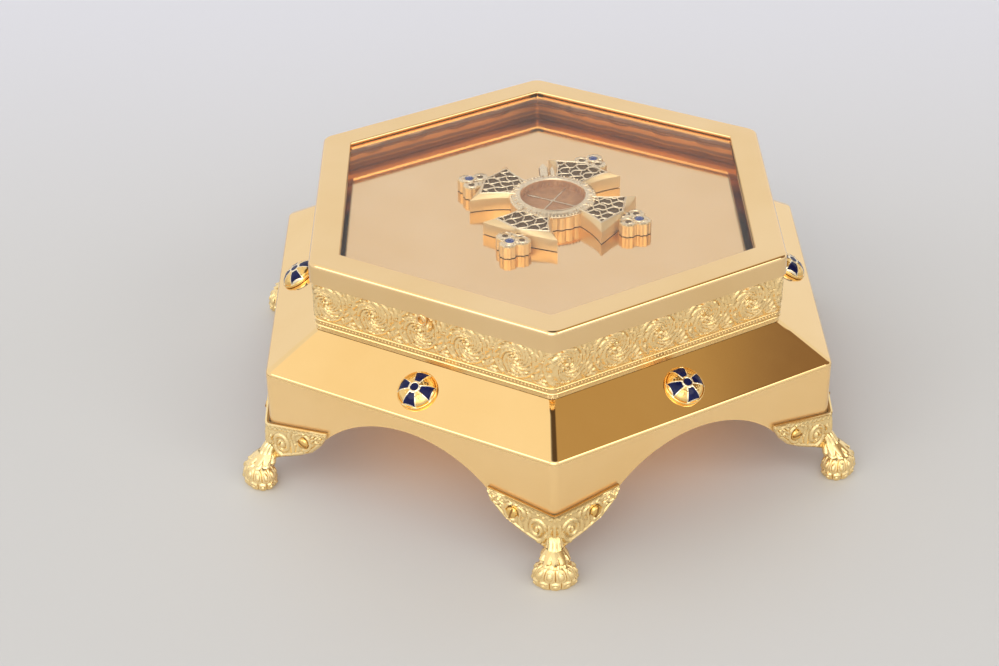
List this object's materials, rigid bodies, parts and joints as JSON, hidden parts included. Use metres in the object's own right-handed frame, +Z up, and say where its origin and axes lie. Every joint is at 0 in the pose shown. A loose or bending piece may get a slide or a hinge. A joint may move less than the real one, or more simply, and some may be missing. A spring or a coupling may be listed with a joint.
{
  "type": "icon case",
  "caption": "Gilt hexagonal icon case on lion-paw feet, with a sloped roof, an embossed neck band, a glazed lift-off lid and a cross reliquary inside.",
  "frame": {"origin": "on the table plane under the middle of the case, between its feet", "axes": "+Z up; one corner of the hexagon points along -Y and its opposite along +Y; +X is to the right of a viewer in front of that corner"},
  "size_m": [0.2894, 0.3292, 0.1087],
  "materials": {
    "polished_gilt": "gilt and mirror polished",
    "embossed_gilt": "gilt, embossed, bright on the high parts",
    "mirror_gilt": "gilt mirror polish with a fine sandy grain",
    "cast_gilt": "gilt casting, darker in its hollows",
    "screw_gilt": "gilt slotted screw",
    "enamelled_gilt": "dark blue enamel with gilt outlines on a gilt dome",
    "cross_gilt": "pale gilt, satin, with dark ground under the open knotwork",
    "blue_stone": "polished blue cabochon",
    "clear_glass": "clear, polished"
  },
  "bodies": {
    "root": {"base_shell": "polished_gilt", "cross_case": "cross_gilt", "cross_stone_1": "blue_stone", "cross_stone_2": "blue_stone", "cross_stone_3": "blue_stone", "cross_stone_4": "blue_stone", "cross_window": "clear_glass", "display_floor": "mirror_gilt", "foot_1": "cast_gilt", "foot_2": "cast_gilt", "foot_3": "cast_gilt", "foot_4": "cast_gilt", "foot_5": "cast_gilt", "foot_6": "cast_gilt", "foot_screw_1": "screw_gilt", "foot_screw_10": "screw_gilt", "foot_screw_11": "screw_gilt", "foot_screw_12": "screw_gilt", "foot_screw_2": "screw_gilt", "foot_screw_3": "screw_gilt", "foot_screw_4": "screw_gilt", "foot_screw_5": "screw_gilt", "foot_screw_6": "screw_gilt", "foot_screw_7": "screw_gilt", "foot_screw_8": "screw_gilt", "foot_screw_9": "screw_gilt", "lid_frame": "polished_gilt", "lid_glass": "clear_glass", "medallion_1": "enamelled_gilt", "medallion_2": "enamelled_gilt", "medallion_3": "enamelled_gilt", "medallion_4": "enamelled_gilt", "medallion_5": "enamelled_gilt", "medallion_6": "enamelled_gilt", "neck_band": "embossed_gilt"}
  },
  "joints": []
}
